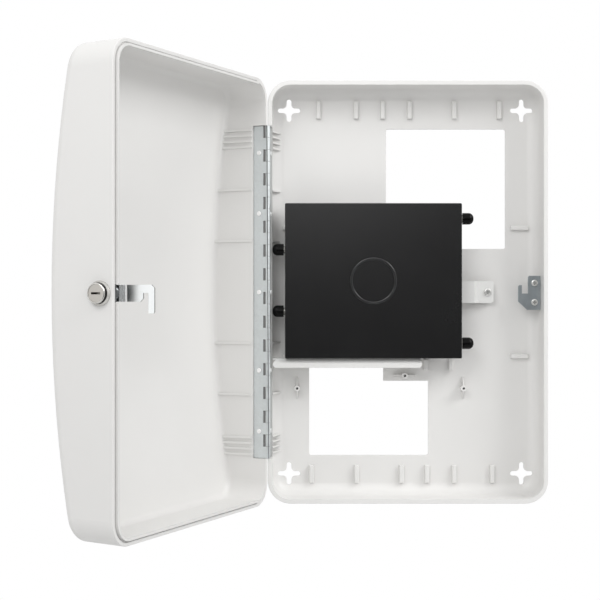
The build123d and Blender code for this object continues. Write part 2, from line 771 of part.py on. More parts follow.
def make_shelf():
    """The bent shelf that the access point stands on, with a lip down its front."""
    top = ap_bottom - shelf_gap
    front_y = ap_front_y + shelf_front_setback
    slope_foot = top - shelf_slope_drop
    lip_foot = slope_foot - shelf_lip_drop
    lip_y = front_y - shelf_slope_run
    outer = [
        (bracket_y, top - sheet), (bracket_y + sheet, top - sheet),
        (bracket_y + sheet, top + shelf_flange_height), (bracket_y, top + shelf_flange_height),
        (bracket_y, top), (front_y, top), (lip_y, slope_foot), (lip_y, lip_foot),
        (lip_y + sheet, lip_foot), (lip_y + sheet, slope_foot - shelf_bend_ease),
        (front_y + sheet / 2, top - sheet),
    ]
    seat = Plane(origin=(shelf_left, 0, 0), x_dir=(0, 1, 0), z_dir=(1, 0, 0))
    shelf = extrude(seat * make_face(Polyline(*outer, close=True)), amount=shelf_right - shelf_left)
    for x, way in ((shelf_left, 1), (shelf_right, -1)):
        corner = [(x - way, lip_foot - 1), (x + way * shelf_lip_corner, lip_foot - 1),
                  (x + way * shelf_lip_corner, lip_foot), (x, lip_foot + shelf_lip_corner),
                  (x - way, lip_foot + shelf_lip_corner)]
        shelf -= plate_from_front(corner, lip_y - 1, lip_y + sheet + 1)
    for x, way, cut in ((shelf_left, 1, shelf_slope_cut_left), (shelf_right, -1, shelf_slope_cut_right)):
        corner = [(x - way, slope_foot), (x, slope_foot), (x + way * cut, top), (x + way * cut, top + 1),
                  (x - way, top + 1)]
        shelf -= plate_from_front(corner, lip_y - 1, front_y)
    for x in shelf_screw_places:
        shelf -= rod_y(x, shelf_screw_level, boss_hole_radius + 0.2, bracket_y - 1, bracket_y + sheet + 1)
    fillet_end = max(floor_fillet, tray_rib_foot) + bracket_clearance - inner_half_width
    shelf -= block(shelf_left - 1, fillet_end, floor_y - floor_fillet, floor_y,
                   lip_foot - 5, top + shelf_flange_height + 1)
    rib_half_length = rib_length / 2 + bracket_clearance
    rib_half_width = rib_width / 2 + bracket_clearance
    shelf -= block(-rib_side_x - rib_half_length, -rib_side_x + rib_half_length,
                   floor_y - rib_height - bracket_clearance, floor_y,
                   -side_rib_height - rib_half_width, -side_rib_height + rib_half_width)
    return shelf


def make_shelf_screws():
    """The two screws that hold the shelf's back flange."""
    one = cross_screw(screw_head_radius, screw_head_height, boss_hole_radius - screw_clearance,
                      bracket_screw_length)
    return Compound([Pos(x, bracket_y, shelf_screw_level) * one for x in shelf_screw_places])


def make_strap():
    """The strap that is screwed to the tray at both ends and carries the access point's back."""
    raised = ap_back_y + sheet
    low = bracket_y
    points = [
        (strap_left, low), (strap_left, low + sheet),
        (strap_bend_left, low + sheet), (strap_bend_left + strap_bend_run, raised),
        (strap_bend_right - strap_bend_run, raised), (strap_bend_right, low + sheet),
        (strap_right, low + sheet), (strap_right, low),
        (strap_bend_right - strap_bend_ease, low),
        (strap_bend_right - strap_bend_run - strap_bend_ease, raised - sheet),
        (strap_bend_left + strap_bend_run + strap_bend_ease, raised - sheet),
        (strap_bend_left + strap_bend_ease, low),
    ]
    seat = Plane(origin=(0, 0, -strap_height / 2), x_dir=(1, 0, 0), z_dir=(0, 0, 1))
    strap = extrude(seat * make_face(Polyline(*points, close=True)), amount=strap_height)
    ends = slab(strap_right - strap_left, strap_height, strap_corner, ap_back_y - 5, floor_y,
                (strap_left + strap_right) / 2, 0)
    strap = strap & ends
    for x in strap_screw_places + strap_ap_screw_places:
        strap -= rod_y(x, 0, boss_hole_radius + 0.2, ap_back_y - 5, floor_y)
    return strap


def make_strap_screws():
    """The two large screws that hold the strap's ends."""
    one = cross_screw(strap_screw_head_radius, screw_head_height, boss_hole_radius - screw_clearance,
                      bracket_screw_length)
    return Compound([Pos(x, bracket_y, 0) * one for x in strap_screw_places])


def make_strap_ap_screws():
    """The two screws that hold the access point's back to the strap."""
    one = Rot(0, 0, 180) * cross_screw(screw_head_radius * 0.8, strap_ap_screw_head_height,
                                       boss_hole_radius - screw_clearance, strap_ap_screw_length)
    return Compound([Pos(x, ap_back_y + sheet, 0) * one for x in strap_ap_screw_places])


def lock_rod(radius, start, end):
    """A round bar on the lock's axis, between two distances inboard of the door's outer face."""
    return rod_x(lock_y, lock_level, radius, half_width - end, half_width - start)


def make_lock_body():
    """The lock's flange and threaded barrel, bored for the plug."""
    collar_radius = lock_flange_radius - lock_collar_inset
    skirt_width = lock_flange_skirt - lock_flange_edge
    skirt_x = half_width + lock_flange_edge + skirt_width / 2
    skirt = Cone(lock_flange_radius, collar_radius, skirt_width)
    skirt = Pos(skirt_x, lock_y, lock_level) * Rot(0, 90, 0) * skirt
    collar = lock_rod(collar_radius, -lock_flange_proud, 0)
    collar = fillet(collar.edges().group_by(Axis.X)[-1], lock_collar_round)
    body = lock_rod(lock_flange_radius, -lock_flange_edge, 0) + skirt + collar
    body += lock_rod(lock_barrel_radius, 0, lock_barrel_end)
    body -= lock_rod(plug_face_radius + plug_clearance, -lock_flange_proud - 1,
                     plug_face_thickness - lock_flange_proud)
    body -= lock_rod(plug_core_radius + plug_clearance, -lock_flange_proud - 1, lock_barrel_end + 1)
    return body


def make_lock_washer():
    """The washer between the door's wall and the lock's nut."""
    washer = lock_rod(lock_washer_radius, wall, wall + lock_washer_thickness)
    return washer - lock_rod(lock_barrel_radius + fit_clearance, 0, wall + 5)


def make_lock_nut():
    """The six-sided nut on the lock's barrel."""
    start = half_width - wall - lock_washer_thickness - lock_nut_thickness
    seat = Plane(origin=(start, lock_y, lock_level), x_dir=(0, 1, 0), z_dir=(1, 0, 0))
    flats = RegularPolygon(lock_nut_radius, 6, major_radius=False, rotation=30)
    nut = extrude(seat * flats, amount=lock_nut_thickness)
    return nut - lock_rod(lock_barrel_radius + fit_clearance, 0, 20)


def make_plug():
    """The turning plug with its keyway and the square that drives the latch."""
    square_start = half_width - latch_lock_plane - latch_thickness / 2 + 0.1
    face_start = plug_setback - lock_flange_proud
    plug = lock_rod(plug_face_radius, face_start, plug_face_thickness - lock_flange_proud)
    plug += lock_rod(plug_core_radius, face_start, lock_barrel_end + cam_gap)
    half = plug_square / 2
    plug += block(square_start, half_width - lock_barrel_end, lock_y - half, lock_y + half,
                  lock_level - half, lock_level + half) & lock_rod(plug_core_radius - 1, 0, 30)
    keyway_back = half_width + lock_flange_proud - keyway_depth
    plug -= block(keyway_back, half_width + lock_flange_proud + 1, lock_y - keyway_length / 2,
                  lock_y + keyway_length / 2, lock_level - keyway_width / 2, lock_level + keyway_width / 2)
    plug -= lock_rod(cam_screw_radius + fit_clearance, lock_barrel_end + cam_gap - cam_screw_length, 30)
    return plug


def make_latch():
    """The cranked hook, bent from flat bar, that turns with the plug."""
    half = latch_width / 2
    eye_y = lock_y
    reach = rim_y + latch_reach
    near = rim_y + latch_throat_near
    far = rim_y + latch_throat_far
    outline = [
        (eye_y, half), (reach - latch_chamfer, half), (reach, half - latch_chamfer),
        (reach, latch_finger_round - latch_finger_drop), (reach - latch_finger_round, -latch_finger_drop),
        (far, -latch_finger_drop),
        (far, latch_throat_top), (near, latch_throat_top), (near, latch_round - half),
        (near - latch_round, -half), (eye_y, -half),
    ]
    seat = Plane(origin=(0, 0, lock_level), x_dir=(0, 1, 0), z_dir=(1, 0, 0))
    flat = extrude(seat * make_face(Polyline(*outline, close=True)), amount=half_width)
    flat += rod_x(eye_y, lock_level, latch_eye_radius, 1, half_width - 1)
    outer = [half_width - latch_lock_plane + latch_thickness / 2,
             half_width - latch_hook_plane + latch_thickness / 2]
    bend_start = rim_y + latch_crank_start
    bend_end = rim_y + latch_crank_end
    bend_near = eye_y - latch_eye_radius - 1
    side = [
        (outer[0], bend_near), (outer[0], bend_start), (outer[1], bend_end), (outer[1], reach + 1),
        (outer[1] - latch_thickness, reach + 1), (outer[1] - latch_thickness, bend_end - 0.3),
        (outer[0] - latch_thickness, bend_start - 0.3), (outer[0] - latch_thickness, bend_near),
    ]
    seat = Plane(origin=(0, 0, lock_level - 30), x_dir=(1, 0, 0), z_dir=(0, 0, 1))
    ribbon = extrude(seat * make_face(Polyline(*side, close=True)), amount=60)
    hook = flat & ribbon
    square = plug_square / 2 + latch_square_clearance
    hole = block(100, half_width, lock_y - square, lock_y + square, lock_level - square, lock_level + square)
    return hook - (hole & lock_rod(plug_core_radius - 1 + latch_square_clearance, 0, 40))


def make_cam_washer():
    """The washer under the latch's screw."""
    start = latch_lock_plane + latch_thickness / 2
    washer = lock_rod(cam_washer_radius, start, start + cam_washer_thickness)
    return washer - lock_rod(cam_screw_radius + fit_clearance, 0, 40)


def make_cam_screw():
    """The screw that holds the latch on the plug."""
    start = latch_lock_plane + latch_thickness / 2 + cam_washer_thickness
    head = lock_rod(cam_screw_head_radius, start, start + cam_screw_head_height)
    head = fillet(head.edges().group_by(Axis.X)[0], 0.8)
    screw = head + lock_rod(cam_screw_radius, start - cam_screw_length + 1, start)
    slot_end = half_width - start - cam_screw_head_height
    screw -= block(slot_end - 1, slot_end + 1.2, lock_y - 5, lock_y + 5, lock_level - 0.5, lock_level + 0.5)
    return screw


fixed_pieces = {
    "base_tray": make_tray,
    "hinge_leaf_base": lambda: make_leaf(1, 0),
    "hinge_rivets_base": lambda: make_rivets(1),
    "hinge_pin": make_pin,
    "keeper_plate": make_keeper,
    "keeper_screws": make_keeper_screws,
    "ap_shelf": make_shelf,
    "ap_shelf_screws": make_shelf_screws,
    "mounting_strap": make_strap,
    "strap_screws": make_strap_screws,
    "strap_ap_screws": make_strap_ap_screws,
    "ap_front_cover": make_ap_cover,
    "ap_light_ring": make_light_ring,
    "ap_back_plate": make_ap_back,
    "ap_back_screws": make_ap_screws,
    "ap_circuit_board": make_board,
    "antenna_sockets": make_connectors,
    "antenna_socket_nuts": make_connector_nuts,
    "antenna_dust_caps": make_connector_caps,
}
door_pieces = {
    "door_shell": make_door,
    "hinge_leaf_door": lambda: make_leaf(-1, 1),
    "hinge_rivets_door": lambda: make_rivets(-1),
    "lock_body": make_lock_body,
    "lock_washer": make_lock_washer,
    "lock_nut": make_lock_nut,
    "lock_plug": make_plug,
    "latch_hook": make_latch,
    "latch_washer": make_cam_washer,
    "latch_screw": make_cam_screw,
}

os.makedirs("parts", exist_ok=True)
for name, make in fixed_pieces.items():
    export_step(make(), "parts/" + name + ".step")
for name, make in door_pieces.items():
    export_step(swing_open(make()), "parts/" + name + ".step")
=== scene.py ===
import json
import math

import bpy
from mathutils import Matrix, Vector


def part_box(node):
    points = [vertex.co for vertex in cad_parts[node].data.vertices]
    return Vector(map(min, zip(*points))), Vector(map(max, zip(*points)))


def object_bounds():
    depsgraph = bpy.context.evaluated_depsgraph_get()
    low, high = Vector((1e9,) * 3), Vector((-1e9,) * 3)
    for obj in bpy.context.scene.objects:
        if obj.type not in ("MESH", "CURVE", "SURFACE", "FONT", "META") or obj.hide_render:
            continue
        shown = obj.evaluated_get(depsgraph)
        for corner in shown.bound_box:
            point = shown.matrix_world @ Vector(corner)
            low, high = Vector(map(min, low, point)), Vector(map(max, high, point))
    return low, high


bl_info = {
    "name": "Wall enclosure looks",
    "version": (1, 0, 0),
    "blender": (4, 5, 0),
    "location": "3D View > Sidebar > Enclosure",
    "description": "Finishes and studio for a lockable wall enclosure with a radio access point",
    "category": "Object",
}

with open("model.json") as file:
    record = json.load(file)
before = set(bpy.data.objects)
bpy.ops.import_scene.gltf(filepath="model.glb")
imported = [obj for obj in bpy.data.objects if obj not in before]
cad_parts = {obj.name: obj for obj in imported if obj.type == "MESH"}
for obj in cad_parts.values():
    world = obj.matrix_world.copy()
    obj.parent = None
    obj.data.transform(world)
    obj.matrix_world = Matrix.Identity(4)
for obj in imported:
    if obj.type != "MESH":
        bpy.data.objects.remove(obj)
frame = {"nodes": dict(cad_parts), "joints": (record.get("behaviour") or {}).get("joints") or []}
start_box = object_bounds()

MM = 0.001

BLACK = (0.0, 0.0, 0.0, 1.0)
WHITE = (1.0, 1.0, 1.0, 1.0)

# The colour sockets of a Mix node, which share their names with its other sockets
MIX_FACTOR, MIX_FIRST, MIX_SECOND, MIX_RESULT = 0, 6, 7, 2

# Directions in the frame: X to the right, Y to the wall, Z up.
# The line down the hinge's barrel leans by 6 mm in a metre.
TO_THE_RIGHT = (1.0, 0.0, 0.0)
TO_THE_WALL = (0.0, 1.0, 0.0)
ACROSS_BARREL_LINE = (1.0, 0.0, 0.006)

# Where painted shade and painted highlights lie, as lowest and highest millimetre along a
# direction, with the part at rest.
# From the hinge pin into the door's depth:
DOOR_SLOTS = (1.0, 4.9)
DOOR_RIM = (-2.3, 0.7)
LATCH_BEND = (-1.3, 0.2)
LATCH_BY_LOCK = (4.7, 24.0)
# From the hinge pin to the door's free side:
LEAF_RECESS = (0.9, 1.7)
DOOR_WALL = (5.0, 320.0)
# From the hinge pin to the right, or to the wall:
LEDGE_WIDTH = (2.0, 5.2)
LEDGE_DEPTH = (15.0, 16.6)
BARREL_LINE = (-0.44, 0.56)
BARREL_FRONT = (-3.0, -0.2)
# From the lock's seat on the door, out through the lock's face:
LOCK_COLLAR = (2.6, 5.9)
LOCK_INNER_END = (-60.0, -5.0)

# Studio, in metres and watts
MIDDLE = (-0.1, -0.1)
FLOOR_RADIUS = 1.7
FLOOR_CORNERS = 96
ROOM_LIGHT = 0.55
ROOM_FRONT = (0.05, -0.952, -0.301)
SENSOR_WIDTH_MM = 36.0
LAMPS = (
    {"name": "key_lamp", "place": (1.75, -1.1, 1.5), "size": 1.3, "power": 32.0},
    {"name": "top_lamp", "place": (-0.1, -2.0, 0.5), "size": 0.5, "power": 2.0},
    {"name": "left_lamp", "place": (-0.7, -1.35, 0.9), "size": 0.8, "power": 8.0},
)


# Small helpers for shader trees

def add_node(tree, kind, **settings):
    """Add a node to a tree and set the properties and input values that are named."""
    node = tree.nodes.new(kind)
    inputs = settings.pop("inputs", {})
    for name, value in settings.items():
        setattr(node, name, value)
    for name, value in inputs.items():
        node.inputs[name].default_value = value
    return node


def join(tree, source, target):
    """Link an output socket to an input socket."""
    tree.links.new(source, target)


def times(tree, source, factor):
    """An output times a number."""
    node = add_node(tree, "ShaderNodeMath", operation="MULTIPLY", inputs={1: factor})
    join(tree, source, node.inputs[0])
    return node.outputs[0]


def product(tree, first, second):
    """The product of two outputs."""
    node = add_node(tree, "ShaderNodeMath", operation="MULTIPLY")
    join(tree, first, node.inputs[0])
    join(tree, second, node.inputs[1])
    return node.outputs[0]


def dot(tree, source, direction):
    """How far an output reaches along a fixed direction."""
    node = add_node(tree, "ShaderNodeVectorMath", operation="DOT_PRODUCT",
                    inputs={1: tuple(direction)})
    join(tree, source, node.inputs[0])
    return node.outputs["Value"]


def per_metre(tree, size_mm):
    """How often a size in millimetres fits in a metre, which is a texture's scale."""
    node = add_node(tree, "ShaderNodeMath", operation="DIVIDE", inputs={0: 1.0 / MM})
    join(tree, size_mm, node.inputs[1])
    return node.outputs[0]


def noise(tree, place, scale, detail, roughness):
    """A noise from 0 to 1, read at a place, with its scale from an output."""
    node = add_node(tree, "ShaderNodeTexNoise", inputs={"Detail": detail, "Roughness": roughness})
    join(tree, place, node.inputs["Vector"])
    join(tree, scale, node.inputs["Scale"])
    return node.outputs["Fac"]


def piece_place(tree):
    """The place on a piece, which moves with the piece."""
    return add_node(tree, "ShaderNodeTexCoord").outputs["Object"]


def new_group(name, inputs, outputs):
    """Start a shader group from a name and a default for each input, a name and a kind for
    each output."""
    tree = bpy.data.node_groups.new(name, "ShaderNodeTree")
    for label, value in inputs:
        socket = tree.interface.new_socket(label, in_out="INPUT", socket_type="NodeSocketFloat")
        socket.default_value = value
    for label, kind in outputs:
        tree.interface.new_socket(label, in_out="OUTPUT", socket_type="NodeSocket" + kind)
    return tree, add_node(tree, "NodeGroupInput"), add_node(tree, "NodeGroupOutput")


def use_group(tree, group_name, **values):
    """Place a shader group in a material and set its inputs. Underscores stand for spaces."""
    node = add_node(tree, "ShaderNodeGroup", node_tree=bpy.data.node_groups[group_name])
    for name, value in values.items():
        node.inputs[name.replace("_", " ").capitalize()].default_value = value
    return node


# Effects that several finishes share

def build_grain_group():
    """Fine moulded or sprayed grain, as a height and a slow mottle."""
    tree, given, result = new_group(
        "Surface grain", [("Grain size", 0.4), ("Mottle size", 30.0)],
        [("Height", "Float"), ("Mottle", "Float")])
    place = piece_place(tree)
    fine = noise(tree, place, per_metre(tree, given.outputs["Grain size"]),
                 detail=2.0, roughness=0.55)
    slow = noise(tree, place, per_metre(tree, given.outputs["Mottle size"]),
                 detail=3.0, roughness=0.5)
    join(tree, fine, result.inputs["Height"])
    join(tree, slow, result.inputs["Mottle"])


def build_handling_group():
    """Faint wipes, prints and dust, as a mask from 0 to 1."""
    tree, given, result = new_group(
        "Handling marks", [("Mark size", 40.0), ("Sharpness", 0.5)], [("Mask", "Float")])
    drift = 0.08
    latest_start = 0.45
    place = piece_place(tree)
    bend = add_node(tree, "ShaderNodeTexNoise", inputs={"Scale": 9.0, "Detail": 2.0})
    bent = add_node(tree, "ShaderNodeVectorMath", operation="MULTIPLY_ADD",
                    inputs={1: (drift, drift, drift)})
    join(tree, place, bend.inputs["Vector"])
    join(tree, bend.outputs["Color"], bent.inputs[0])
    join(tree, place, bent.inputs[2])
    smears = noise(tree, bent.outputs[0], per_metre(tree, given.outputs["Mark size"]),
                   detail=6.0, roughness=0.62)
    cut = add_node(tree, "ShaderNodeMapRange", interpolation_type="SMOOTHSTEP",
                   inputs={"From Max": 0.8})
    join(tree, smears, cut.inputs["Value"])
    join(tree, times(tree, given.outputs["Sharpness"], latest_start), cut.inputs["From Min"])
    join(tree, cut.outputs["Result"], result.inputs["Mask"])


def build_edge_group():
    """Eased edges and a mask of where they wear."""
    tree, given, result = new_group(
        "Eased edges", [("Radius", 0.3), ("Wear size", 3.0)],
        [("Normal", "Vector"), ("Wear", "Float")])
    bevel = add_node(tree, "ShaderNodeBevel", samples=6)
    join(tree, times(tree, given.outputs["Radius"], MM), bevel.inputs["Radius"])
    flat = add_node(tree, "ShaderNodeNewGeometry")
    facing = add_node(tree, "ShaderNodeVectorMath", operation="DOT_PRODUCT")
    join(tree, bevel.outputs["Normal"], facing.inputs[0])
    join(tree, flat.outputs["Normal"], facing.inputs[1])
    turned = add_node(tree, "ShaderNodeMapRange", inputs={
        "From Min": 0.995, "From Max": 0.8, "To Min": 0.0, "To Max": 1.0})
    join(tree, facing.outputs["Value"], turned.inputs["Value"])
    patches = noise(tree, piece_place(tree), per_metre(tree, given.outputs["Wear size"]),
                    detail=4.0, roughness=0.7)
    broken = add_node(tree, "ShaderNodeMapRange", inputs={"From Min": 0.42, "From Max": 0.66})
    join(tree, patches, broken.inputs["Value"])
    worn = product(tree, turned.outputs["Result"], broken.outputs["Result"])
    join(tree, bevel.outputs["Normal"], result.inputs["Normal"])
    join(tree, worn, result.inputs["Wear"])


def build_brushed_group():
    """Fine drawn lines along Z on rolled or brushed metal, as a streak from 0 to 1."""
    tree, given, result = new_group(
        "Drawn lines", [("Line width", 0.25), ("Line length", 18.0)], [("Streak", "Float")])
    across = per_metre(tree, given.outputs["Line width"])
    along = per_metre(tree, given.outputs["Line length"])
    stretch = add_node(tree, "ShaderNodeCombineXYZ")
    for scale, axis in ((across, "X"), (across, "Y"), (along, "Z")):
        join(tree, scale, stretch.inputs[axis])
    scaled = add_node(tree, "ShaderNodeVectorMath", operation="MULTIPLY")
    join(tree, piece_place(tree), scaled.inputs[0])
    join(tree, stretch.outputs[0], scaled.inputs[1])
    lines = add_node(tree, "ShaderNodeTexNoise",
                     inputs={"Scale": 1.0, "Detail": 3.0, "Roughness": 0.6})
    join(tree, scaled.outputs[0], lines.inputs["Vector"])
    join(tree, lines.outputs["Fac"], result.inputs["Streak"])


def build_spangle_group():
    """The crystal flakes of a zinc coat."""
    tree, given, result = new_group(
        "Zinc flakes", [("Flake size", 3.0)], [("Flake", "Float")])
    cells = add_node(tree, "ShaderNodeTexVoronoi", inputs={"Randomness": 1.0})
    join(tree, piece_place(tree), cells.inputs["Vector"])
    join(tree, per_metre(tree, given.outputs["Flake size"]), cells.inputs["Scale"])
    split = add_node(tree, "ShaderNodeSeparateColor")
    join(tree, cells.outputs["Color"], split.inputs[0])
    join(tree, split.outputs[0], result.inputs["Flake"])


def build_crevice_shade_group():
    """Painted shade for narrow gaps and inner corners, from ambient occlusion, as a mask."""
    tree, given, result = new_group(
        "Painted crevice shade", [("Reach", 4.0), ("Open above", 0.9)], [("Mask", "Float")])
    hidden = add_node(tree, "ShaderNodeAmbientOcclusion", samples=8)
    join(tree, times(tree, given.outputs["Reach"], MM), hidden.inputs["Distance"])
    cut = add_node(tree, "ShaderNodeMapRange", interpolation_type="SMOOTHSTEP",
                   inputs={"From Min": 0.25, "To Min": 1.0, "To Max": 0.0})
    join(tree, hidden.outputs["AO"], cut.inputs["Value"])
    join(tree, given.outputs["Open above"], cut.inputs["From Max"])
    join(tree, cut.outputs["Result"], result.inputs["Mask"])


# Parts of a finish

def start_finish(name, roughness, metallic=0.0, coat=0.0, coat_roughness=0.1):
    """A new material with its principled shader."""
    material = bpy.data.materials.new(name)
    material.use_nodes = True
    shader = principled(material)
    shader.inputs["Metallic"].default_value = metallic
    shader.inputs["Roughness"].default_value = roughness
    shader.inputs["Coat Weight"].default_value = coat
    shader.inputs["Coat Roughness"].default_value = coat_roughness
    return material, material.node_tree, shader


def principled(material):
    """The shader that a material's nodes feed."""
    return material.node_tree.nodes["Principled BSDF"]


def shade(colour, factor):
    """A colour made darker or brighter by a factor, up to white."""
    return tuple(min(1.0, factor * channel) for channel in colour)


def tint(tree, shader, mask, plain, marked):
    """Colour the shader from plain to marked by a mask."""
    mix = add_node(tree, "ShaderNodeMix", data_type="RGBA")
    mix.inputs[MIX_FIRST].default_value = (*plain, 1.0)
    mix.inputs[MIX_SECOND].default_value = (*marked, 1.0)
    join(tree, mask, mix.inputs[MIX_FACTOR])
    join(tree, mix.outputs[MIX_RESULT], shader.inputs["Base Color"])


def layer(tree, shader, mask, colour, most=1.0):
    """Lay one more colour over what the shader has, as far as a mask allows."""
    mix = add_node(tree, "ShaderNodeMix", data_type="RGBA")
    mix.inputs[MIX_SECOND].default_value = (*colour, 1.0)
    join(tree, times(tree, mask, most), mix.inputs[MIX_FACTOR])
    join(tree, shader.inputs["Base Color"].links[0].from_socket, mix.inputs[MIX_FIRST])
    join(tree, mix.outputs[MIX_RESULT], shader.inputs["Base Color"])


def shade_gaps(tree, shader, colour, reach_mm, most, open_above=0.9):
    """Paint shade into narrow gaps and inner corners of a finish."""
    gaps = use_group(tree, "Painted crevice shade", reach=reach_mm, open_above=open_above)
    layer(tree, shader, gaps.outputs["Mask"], colour, most)


def spread(tree, shader, mask, low, high):
    """Vary the shader's roughness from low to high by a mask."""
    span = add_node(tree, "ShaderNodeMapRange", inputs={"To Min": low, "To Max": high})
    join(tree, mask, span.inputs["Value"])
    join(tree, span.outputs["Result"], shader.inputs["Roughness"])


def roughen(tree, shader, height, depth_mm, strength, normal=None):
    """Give the shader a relief from a height, over eased edges where a normal is given."""
    bump = add_node(tree, "ShaderNodeBump",
                    inputs={"Strength": strength, "Distance": depth_mm * MM})
    join(tree, height, bump.inputs["Height"])
    if normal is not None:
        join(tree, normal, bump.inputs["Normal"])
    join(tree, bump.outputs["Normal"], shader.inputs["Normal"])


# Finishes

def moulded_plastic(name, plain, marked, rough, grain_mm, grain_depth_mm, coat=0.0, edge_mm=0.5,
                    rubbed=0.09):
    """Moulded plastic with a fine grain, a slow mottle and softened edges."""
    material, tree, shader = start_finish(name, rough, coat=coat)
    grain = use_group(tree, "Surface grain", grain_size=grain_mm, mottle_size=60.0)
    marks = use_group(tree, "Handling marks", mark_size=55.0, sharpness=0.7)
    edges = use_group(tree, "Eased edges", radius=edge_mm)
    tint(tree, shader, grain.outputs["Mottle"], plain, marked)
    # Painted shade in gaps and inner corners: a wide soft one, then a narrow darker one.
    shade_gaps(tree, shader, shade(plain, 0.8), reach_mm=5.0, most=0.4)
    shade_gaps(tree, shader, shade(plain, 0.4), reach_mm=2.0, most=0.22, open_above=0.62)
    spread(tree, shader, marks.outputs["Mask"], rough, rough + rubbed)
    roughen(tree, shader, grain.outputs["Height"], grain_depth_mm, strength=0.5,
            normal=edges.outputs["Normal"])
    return material


def coated_steel(name, plain, marked, rough, peel_mm, edge_mm):
    """Sprayed powder coat with its orange-peel relief."""
    material, tree, shader = start_finish(name, rough, coat=0.15, coat_roughness=0.2)
    grain = use_group(tree, "Surface grain", grain_size=peel_mm, mottle_size=25.0)
    edges = use_group(tree, "Eased edges", radius=edge_mm)
    tint(tree, shader, grain.outputs["Mottle"], plain, marked)
    # Painted shade in narrow gaps and inner corners.
    shade_gaps(tree, shader, shade(plain, 0.7), reach_mm=1.5, most=0.4)
    spread(tree, shader, grain.outputs["Mottle"], rough - 0.05, rough + 0.08)
    roughen(tree, shader, grain.outputs["Height"], depth_mm=0.05, strength=0.6,
            normal=edges.outputs["Normal"])
    return material


def rolled_metal(name, plain, marked, rough, line_mm=0.25, length_mm=18.0, uneven=0.12):
    """Rolled or drawn metal with fine lines and brighter worn edges."""
    material, tree, shader = start_finish(name, rough, metallic=1.0)
    lines = use_group(tree, "Drawn lines", line_width=line_mm, line_length=length_mm)
    edges = use_group(tree, "Eased edges", radius=0.2, wear_size=2.0)
    streak = lines.outputs["Streak"]
    tint(tree, shader, streak, plain, marked)
    layer(tree, shader, edges.outputs["Wear"], shade(marked, 1.25), most=0.7)
    # Painted shade in narrow gaps and inner corners.
    shade_gaps(tree, shader, shade(plain, 0.25), reach_mm=2.5, most=0.8)
    spread(tree, shader, streak, rough - 0.5 * uneven, rough + uneven)
    roughen(tree, shader, streak, depth_mm=0.02, strength=0.4,
            normal=edges.outputs["Normal"])
    return material


def zinc_coated(name, plain, marked, rough, flake_mm):
    """Zinc coated steel with its flakes and a light grain."""
    material, tree, shader = start_finish(name, rough, metallic=0.9)
    flakes = use_group(tree, "Zinc flakes", flake_size=flake_mm)
    grain = use_group(tree, "Surface grain", grain_size=0.5, mottle_size=12.0)
    edges = use_group(tree, "Eased edges", radius=0.2, wear_size=2.0)
    blend = product(tree, flakes.outputs["Flake"], grain.outputs["Mottle"])
    tint(tree, shader, blend, plain, marked)
    layer(tree, shader, edges.outputs["Wear"], shade(marked, 1.25), most=0.6)
    # Painted shade in narrow gaps and inner corners.
    shade_gaps(tree, shader, shade(plain, 0.2), reach_mm=2.0, most=0.85)
    spread(tree, shader, flakes.outputs["Flake"], rough - 0.05, rough + 0.1)
    roughen(tree, shader, grain.outputs["Height"], depth_mm=0.02, strength=0.4,
            normal=edges.outputs["Normal"])
    return material


def plated_metal(name, plain, marked, rough, metallic=1.0, gap_shade=0.85):
    """Smooth plating with faint handling marks."""
    material, tree, shader = start_finish(name, rough, metallic=metallic)
    marks = use_group(tree, "Handling marks", mark_size=6.0, sharpness=0.6)
    grain = use_group(tree, "Surface grain", grain_size=0.6)
    edges = use_group(tree, "Eased edges", radius=0.25, wear_size=2.0)
    tint(tree, shader, marks.outputs["Mask"], plain, marked)
    layer(tree, shader, edges.outputs["Wear"], shade(plain, 1.15), most=0.5)
    # Painted shade in narrow gaps and inner corners.
    shade_gaps(tree, shader, shade(plain, 0.15), reach_mm=2.0, most=gap_shade)
    spread(tree, shader, marks.outputs["Mask"], rough, rough + 0.1)
    roughen(tree, shader, grain.outputs["Height"], depth_mm=0.01, strength=0.25,
            normal=edges.outputs["Normal"])
    return material


def circuit_board(name, mask_colour, copper_colour):
    """Green solder mask with a faint grid of tracks."""
    material, tree, shader = start_finish(name, roughness=0.35, coat=0.3)
    tracks = add_node(tree, "ShaderNodeTexBrick", inputs={
        "Scale": 120.0, "Mortar Size": 0.03, "Color1": BLACK, "Color2": BLACK,
        "Mortar": WHITE})
    grain = use_group(tree, "Surface grain", mottle_size=20.0)
    join(tree, piece_place(tree), tracks.inputs["Vector"])
    tint(tree, shader, tracks.outputs["Fac"], mask_colour, copper_colour)
    spread(tree, shader, grain.outputs["Mottle"], 0.3, 0.45)
    roughen(tree, shader, tracks.outputs["Fac"], depth_mm=0.03, strength=0.5)
    return material


# Painted shade and painted highlights that lie at a place of the part, and not all over a finish

def joint_named(name):
    """A joint of the record, by its name."""
    return next(joint for joint in frame["joints"] if joint["name"] == name)


def door_lines():
    """The hinge pin's place, and the ways to the door's free side and into its depth, at rest."""
    pin = joint_named("door_swing")["pos_m"]
    to_free_side = joint_named("latch_turn")["axis"]
    return pin, to_free_side, (to_free_side[1], -to_free_side[0], 0.0)


def slice_mask(tree, origin, direction, span_mm):
    """1 inside a span of distances from an origin along a direction, and 0 elsewhere."""
    low, high = span_mm
    foot = sum(a * b for a, b in zip(origin, direction))
    inside = add_node(tree, "ShaderNodeMath", operation="COMPARE", inputs={
        1: foot + 0.5 * (low + high) * MM, 2: 0.5 * (high - low) * MM})
    join(tree, dot(tree, piece_place(tree), direction), inside.inputs[0])
    return inside.outputs[0]


def paint_shade_slices(material, slices, colour, most=1.0):
    """Paint shade and dark reflections where slices meet, each with its origin, direction and
    span.
    """
    tree = material.node_tree
    mask = slice_mask(tree, *slices[0])
    for other in slices[1:]:
        mask = product(tree, mask, slice_mask(tree, *other))
    layer(tree, principled(material), mask, colour, most)


